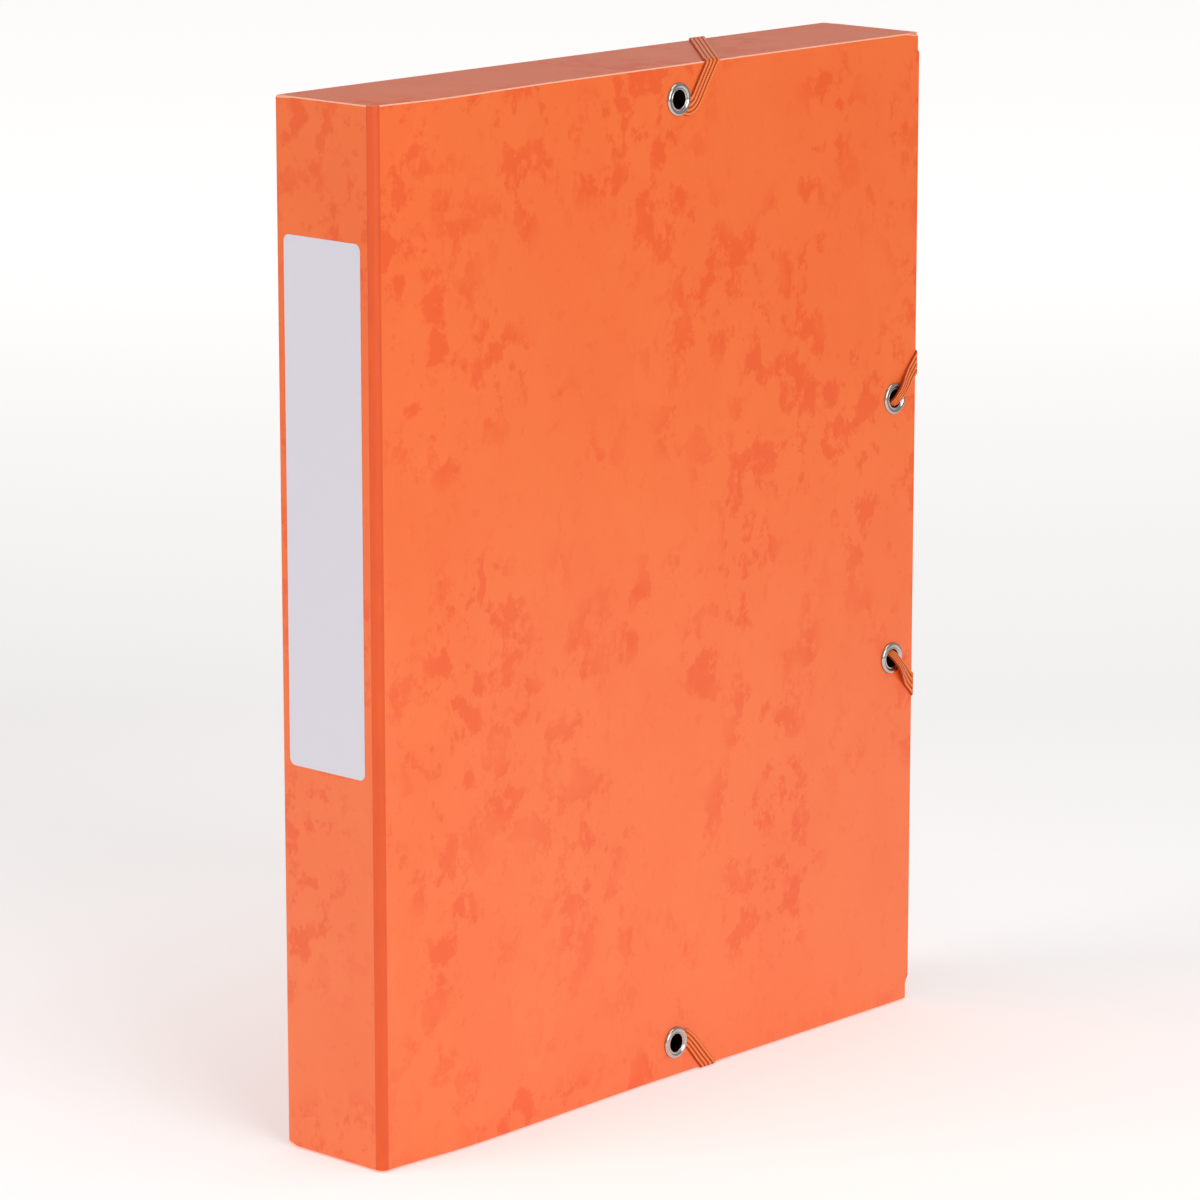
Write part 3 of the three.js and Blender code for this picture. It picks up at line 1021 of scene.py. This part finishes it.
def fold_round(flat):
    """Folds a point of the flat layout round the file: lid, top wall, back, fore-edge wall and lid again."""
    u, v, out = flat
    fold = bpy.context.scene.boxfile_card.fold_radius
    if v < DEPTH / 2:
        up, front = bend(v, out, BEND_SHARP)
        z = HEIGHT + up
        return Vector((u, -front - lid_stand(u, min(z, HEIGHT)) * smooth(-v / STAND_FADE), z))
    if v < DEPTH + CORNER_REACH and u < WIDTH - CORNER_REACH:
        back, up = bend(v - DEPTH, out, fold)
        return Vector((u, DEPTH + back, HEIGHT + up))
    z = HEIGHT - (v - DEPTH)
    if u < WIDTH + DEPTH / 2:
        right, back = bend(u - WIDTH, out, fold)
        return Vector((WIDTH + right, DEPTH + back, z))
    front, right = bend(u - WIDTH - DEPTH, out, BEND_SHARP)
    x = WIDTH + right
    return Vector((x, -front - lid_stand(min(x, WIDTH), z) * smooth((WIDTH - x) / STAND_FADE), z))


def fill_between(one, two, spacing):
    """Stations along a straight run, closer together where it goes over an edge of the file."""
    distance = (two.place - one.place).length
    made, travelled = [], 0.0
    while True:
        here = one.place.lerp(two.place, travelled / distance)
        to_edge = min(abs(here.y), abs(here.y - DEPTH), abs(here.x - WIDTH), abs(here.x - WIDTH - DEPTH))
        travelled += EDGE_SPACING if to_edge < NEAR_EDGE else spacing
        if travelled >= distance:
            return made
        share = travelled / distance
        station = Station(one.place.lerp(two.place, share), 0)
        station.across = one.across.lerp(two.across, share).normalized()
        station.wide = mix(one.wide, two.wide, share)
        station.thick = mix(one.thick, two.thick, share)
        made.append(station)


def through_points(points, count):
    """A smooth line through listed stations (Catmull-Rom)."""
    made = []
    padded = [points[0], *points, points[-1]]
    for i in range(1, len(padded) - 2):
        a, b, c, d = padded[i - 1 : i + 3]
        for share in steps(0, 1, count)[:-1]:
            square, cube = share * share, share**3
            place = 0.5 * (
                2 * b.place
                + (c.place - a.place) * share
                + (2 * a.place - 5 * b.place + 4 * c.place - d.place) * square
                + (3 * b.place - a.place - 3 * c.place + d.place) * cube
            )
            station = Station(place, 0)
            station.across = b.across.lerp(c.across, smooth(share)).normalized()
            station.wide = mix(b.wide, c.wide, smooth(share))
            station.thick = mix(b.thick, c.thick, smooth(share))
            made.append(station)
    made.append(points[-1])
    return made


def near_end_eyelet(right, up, heading, wide=1.0):
    """A station on the lid, in mm from the end eyelet's centre."""
    half = bpy.context.scene.boxfile_elastic.thickness / 2
    return Station(FLAT_END + Vector((right * MM, up * MM, half)), heading, wide)


def near_fore_eyelet(right, up, height, heading, wide=1.0, thick=1.0, tilt=0.0):
    """A station at the fore-edge eyelet, in mm from its centre and off the lid, as seen from the front."""
    return Station(FLAT_FORE + Vector((-right * MM, -up * MM, height * MM)), heading, wide, thick, tilt)


# From under the end eyelet's flange up to the lid's edge: right, up, heading and share of the width
UPPER_FOOT = (
    (2.6, -3.0, -12, 0.80),
    (4.7, -3.1, 6, 0.92),
    (6.7, -2.1, 36, 0.98),
    (8.3, -0.3, 52, 1.0),
    (11.0, 3.8, 55, 1.0),
)
LOWER_FOOT = (
    (3.5, -2.2, 36, 0.78),
    (5.2, -0.8, 41, 0.84),
    (7.0, 1.0, 47, 0.92),
    (9.0, 3.2, 51, 0.97),
    (11.6, 6.2, 53, 1.0),
)
EDGE_CROSSING = (15.7, 10.8, 50)

# Over the fore-edge eyelet's flange and down its bore: right, up, height, heading, width, thickness and tilt
UPPER_ENTRY = (
    (8.2, 8.0, 0.45, 46, 0.98, 1.0, 0),
    (6.0, 5.7, 0.75, 47, 0.92, 1.05, 3),
    (4.1, 3.6, 1.30, 48, 0.84, 1.1, 5),
    (2.3, 1.7, 1.25, 50, 0.70, 1.2, 6),
    (0.7, -0.3, 0.55, 52, 0.58, 1.35, 4),
    (-0.3, -1.6, -0.45, 60, 0.52, 1.4, 0),
    (-0.5, -2.0, -1.30, 75, 0.55, 1.3, 0),
    (-0.3, -3.6, -1.95, 90, 0.75, 1.1, 0),
    (0.0, -9.0, -1.80, 90, 1.0, 1.0, 0),
)
LOWER_ENTRY = (
    (8.4, 8.3, 0.45, 46, 1.0, 1.0, 0),
    (6.2, 6.0, 0.95, 47, 0.98, 1.0, 12),
    (4.3, 3.9, 1.50, 48, 0.92, 1.05, 22),
    (2.6, 1.9, 1.50, 50, 0.80, 1.15, 28),
    (1.0, -0.2, 0.85, 52, 0.64, 1.3, 22),
    (-0.1, -1.6, -0.20, 60, 0.50, 1.4, 10),
    (-0.4, -2.0, -1.30, 75, 0.55, 1.3, 0),
    (-0.2, -3.6, -1.95, 90, 0.75, 1.1, 0),
    (0.0, -9.0, -1.80, 90, 1.0, 1.0, 0),
)


def half_stations(settings, foot, entry):
    """Half of the elastic, from an end eyelet round a corner of the file to the middle of the lid."""
    half = settings.thickness / 2
    right, up, heading = EDGE_CROSSING
    crossing = near_end_eyelet(right, up, heading)
    start = through_points([near_end_eyelet(*place) for place in foot], 5)
    finish = through_points([near_fore_eyelet(*place) for place in entry], 6)
    way = finish[0].place - crossing.place
    heading = math.degrees(math.atan2(way.y, way.x))
    on_top = Station(crossing.place + way.normalized() * 3 * MM, heading)
    before_entry = Station(finish[0].place - way.normalized() * 6 * MM, heading)
    on_top.place.z = before_entry.place.z = half
    stations = start
    for target in (crossing, on_top, before_entry, finish[0]):
        stations += fill_between(stations[-1], target, LOOP_SPACING)
        if target is not finish[0]:
            stations.append(target)
    stations += finish
    middle = Station((FLAT_FORE.x, DEPTH + HEIGHT / 2, finish[-1].place.z), 90)
    stations += fill_between(stations[-1], middle, INSIDE_SPACING)
    stations.append(middle)
    return stations


def band_section(settings, points_per_rib=5):
    """Section of the elastic: round ribs side by side on both faces, and which parts are grooves, which take
    the groove colour, painted shade.
    """
    ribs = settings.ribs
    last = ribs * points_per_rib
    upper = []
    for i in range(last + 1):
        within = (i / points_per_rib) % 1.0
        bump = math.sqrt(max(0.0, 1 - (2 * within - 1) ** 2))
        height = 0.0 if i in (0, last) else mix(RIB_VALLEY, 1.0, bump)
        upper.append((2 * i / last - 1, height, bump < 0.5))
    lower = [(across, -height, painted_groove_shade) for across, height, painted_groove_shade in reversed(upper[1:-1])]
    return upper + lower


def tuck_under_flange(flat):
    """Presses the elastic flat where the end eyelet's flange clamps it, and keeps it out of the bore."""
    inner = FLANGE_RADIUS - CLAMPED_LENGTH
    away = Vector((flat.x - FLAT_END.x, flat.y - FLAT_END.y))
    reach = away.length
    if reach > FLANGE_RADIUS + PRESS_FADE:
        return flat
    press = mix(FLANGE_PRESS, 1.0, smooth((reach - FLANGE_RADIUS + PRESS_START) / PRESS_FADE))
    if reach < inner:
        away = away.normalized() * inner
    return Vector((FLAT_END.x + away.x, FLAT_END.y + away.y, flat.z * press))


def half_rings(settings, foot, entry):
    """Rings of points round the elastic, folded round the file, and how far along it each ring lies."""
    stations = half_stations(settings, foot, entry)
    section = band_section(settings)
    rings, travelled, distance = [], [], 0.0
    for i, station in enumerate(stations):
        before = stations[max(0, i - 1)].place
        after = stations[min(len(stations) - 1, i + 1)].place
        way = (after - before).normalized()
        across = (station.across - way * station.across.dot(way)).normalized()
        normal = across.cross(way).normalized()
        distance += (station.place - before).length if i else 0.0
        travelled.append(distance)
        ring = []
        for side, height, _ in section:
            place = station.place + across * (side * settings.width / 2 * station.wide)
            place += normal * (height * settings.thickness / 2 * station.thick)
            ring.append(fold_round(tuck_under_flange(place)))
        rings.append(ring)
    return rings, travelled


def make_elastic(settings):
    rings, travelled = half_rings(settings, UPPER_FOOT, UPPER_ENTRY)
    lower_rings, lower_travelled = half_rings(settings, LOWER_FOOT, LOWER_ENTRY)
    whole = travelled[-1] + lower_travelled[-1]
    for ring, distance in list(zip(lower_rings, lower_travelled))[-2::-1]:
        rings.append([Vector((p.x, p.y, HEIGHT - p.z)) for p in ring])
        travelled.append(whole - distance)
    section = band_section(settings)
    around = len(section)
    bm = bmesh.new()
    uv = bm.loops.layers.uv.new("along")
    made = [[bm.verts.new(on_file(*place)) for place in ring] for ring in rings]
    for i in range(len(made) - 1):
        for j in range(around):
            k = (j + 1) % around
            face = bm.faces.new((made[i][j], made[i][k], made[i + 1][k], made[i + 1][j]))
            face.smooth = True
            # Faces in the grooves take the groove material, painted shade.
            face.material_index = int(section[j][2] or section[k][2])
            corners = ((j, i), (j + 1, i), (j + 1, i + 1), (j, i + 1))
            for loop, (side, along) in zip(face.loops, corners):
                loop[uv].uv = (side * settings.width * 2 / around, travelled[along])
    bm.faces.new(reversed(made[0]))
    bm.faces.new(made[-1])
    bmesh.ops.recalc_face_normals(bm, faces=bm.faces)
    # The second material darkens the grooves between the ribs: painted shade.
    materials = [
        covered_elastic(settings, "polyester_covered_elastic", settings.yarn, 0.16),
        covered_elastic(settings, "elastic_groove", settings.painted_groove_shade, 0.15),
    ]
    piece = new_piece("ribbed_elastic", bm, materials)
    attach(piece, "lid")
    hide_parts("elastic_band")
    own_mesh(piece)


# Stage

FOCAL_LENGTH_MM = 165.0
CAMERA_DISTANCE = 1.765
CAMERA_AZIMUTH = -47.37
CAMERA_ELEVATION = 12.62
CAMERA_TARGET = Vector((-0.0039, 0.0020, 0.1578))

# The runner lies along the photo's line of view, in metres from the file
RUNNER_AZIMUTH = CAMERA_AZIMUTH
RUNNER_HALF = 0.6
RUNNER_FADE = 0.45
# The floor's glow, painted light: where it starts and ends, and its strength near and far.
GLOW_START = 0.5
GLOW_END = 1.7
NEAR_GLOW = 0.30
FAR_GLOW = 0.64
FLOOR_HALF = 6.0
ROOM_STRENGTH = 0.38


def polar(azimuth, elevation, distance):
    """A place round the file: azimuth 0 is in front of the lid, elevation is above the floor, in degrees."""
    a, e = math.radians(azimuth), math.radians(elevation)
    return Vector((math.sin(a) * math.cos(e), -math.cos(a) * math.cos(e), math.sin(e))) * distance


def add_camera():
    data = bpy.data.cameras.new("camera")
    data.lens = FOCAL_LENGTH_MM
    camera = bpy.data.objects.new("camera", data)
    bpy.context.scene.collection.objects.link(camera)
    back = polar(CAMERA_AZIMUTH, CAMERA_ELEVATION, 1.0)
    camera.location = CAMERA_TARGET + back * CAMERA_DISTANCE
    camera.rotation_euler = (-back).to_track_quat("-Z", "Y").to_euler()
    bpy.context.scene.camera = camera


def add_soft_light(name, place, target, size, power):
    data = bpy.data.lights.new(name, "AREA")
    data.shape = "RECTANGLE"
    data.size, data.size_y = size
    data.energy = power
    light = bpy.data.objects.new(name, data)
    bpy.context.scene.collection.objects.link(light)
    light.location = place
    light.rotation_euler = (place - target).to_track_quat("Z", "Y").to_euler()


def make_stage():
    bm = bmesh.new()
    bmesh.ops.create_grid(bm, x_segments=1, y_segments=1, size=FLOOR_HALF)
    floor = new_piece("studio_floor", bm, [glowing_seamless_paper()])
    middle = Vector((0, 0, HEIGHT / 2))
    add_soft_light("front_softbox", polar(-12, 24, 2.0), middle, (1.4, 1.2), 16)
    add_soft_light("spine_softbox", polar(-112, 26, 2.0), middle, (1.2, 1.2), 11.5)
    add_soft_light("top_softbox", polar(10, 80, 1.8), middle, (1.0, 1.0), 5)
    world = bpy.data.worlds.new("studio")
    world.use_nodes = True
    room = world.node_tree.nodes["Background"]
    room.inputs["Color"].default_value = linear("ffffff")
    room.inputs["Strength"].default_value = ROOM_STRENGTH
    bpy.context.scene.world = world
    bpy.context.scene.view_settings.view_transform = "Standard"


# Operators, panel and registration


class BOXFILE_OT_tray(bpy.types.Operator):
    """Folds the tray from card"""

    bl_idname = "boxfile.tray"
    bl_label = "Card tray"

    def execute(self, context):
        make_tray(context.scene.boxfile_card)
        return {"FINISHED"}


class BOXFILE_OT_lid(bpy.types.Operator):
    """Cuts the lid and punches its eyelet holes"""

    bl_idname = "boxfile.lid"
    bl_label = "Card lid"

    def execute(self, context):
        make_lid(context.scene.boxfile_card)
        return {"FINISHED"}


class BOXFILE_OT_crease(bpy.types.Operator):
    """Folds the crease that joins spine and lid"""

    bl_idname = "boxfile.crease"
    bl_label = "Crease"

    def execute(self, context):
        make_crease(context.scene.boxfile_card)
        return {"FINISHED"}


class BOXFILE_OT_label(bpy.types.Operator):
    """Sticks the label on the spine"""

    bl_idname = "boxfile.label"
    bl_label = "Spine label"

    def execute(self, context):
        make_label(context.scene.boxfile_label)
        return {"FINISHED"}


class BOXFILE_OT_eyelets(bpy.types.Operator):
    """Turns the four eyelets"""

    bl_idname = "boxfile.eyelets"
    bl_label = "Eyelets"

    def execute(self, context):
        settings = context.scene.boxfile_eyelet
        material = nickel_plate(settings)
        for name in EYELETS:
            make_eyelet(settings, name, material)
        return {"FINISHED"}


class BOXFILE_OT_elastic(bpy.types.Operator):
    """Runs the elastic round both corners and through the lid"""

    bl_idname = "boxfile.elastic"
    bl_label = "Elastic"

    def execute(self, context):
        make_elastic(context.scene.boxfile_elastic)
        return {"FINISHED"}


class BOXFILE_OT_stage(bpy.types.Operator):
    """Sets the floor, the lights and the camera"""

    bl_idname = "boxfile.stage"
    bl_label = "Studio"

    def execute(self, context):
        add_camera()
        make_stage()
        return {"FINISHED"}


OPERATORS = (
    BOXFILE_OT_stage,
    BOXFILE_OT_tray,
    BOXFILE_OT_lid,
    BOXFILE_OT_crease,
    BOXFILE_OT_label,
    BOXFILE_OT_eyelets,
    BOXFILE_OT_elastic,
)


class BOXFILE_PT_panel(bpy.types.Panel):
    """Lists the file's pieces and their sizes"""

    bl_idname = "BOXFILE_PT_panel"
    bl_label = "Box File"
    bl_space_type = "VIEW_3D"
    bl_region_type = "UI"
    bl_category = "Box File"

    def draw(self, context):
        for operator in OPERATORS:
            self.layout.operator(operator.bl_idname)
        for group_name, group in SETTING_GROUPS.items():
            for prop in group.__annotations__:
                self.layout.prop(getattr(context.scene, group_name), prop)


def register():
    for group_name, group in SETTING_GROUPS.items():
        bpy.utils.register_class(group)
        setattr(bpy.types.Scene, group_name, bpy.props.PointerProperty(type=group))
    for operator in OPERATORS:
        bpy.utils.register_class(operator)
    bpy.utils.register_class(BOXFILE_PT_panel)


def unregister():
    bpy.utils.unregister_class(BOXFILE_PT_panel)
    for operator in reversed(OPERATORS):
        bpy.utils.unregister_class(operator)
    for group_name, group in SETTING_GROUPS.items():
        delattr(bpy.types.Scene, group_name)
        bpy.utils.unregister_class(group)


def main():
    register()
    for step in ("stage", "tray", "lid", "crease", "label", "eyelets", "elastic"):
        getattr(bpy.ops.boxfile, step)()


if __name__ == "__main__":
    main()
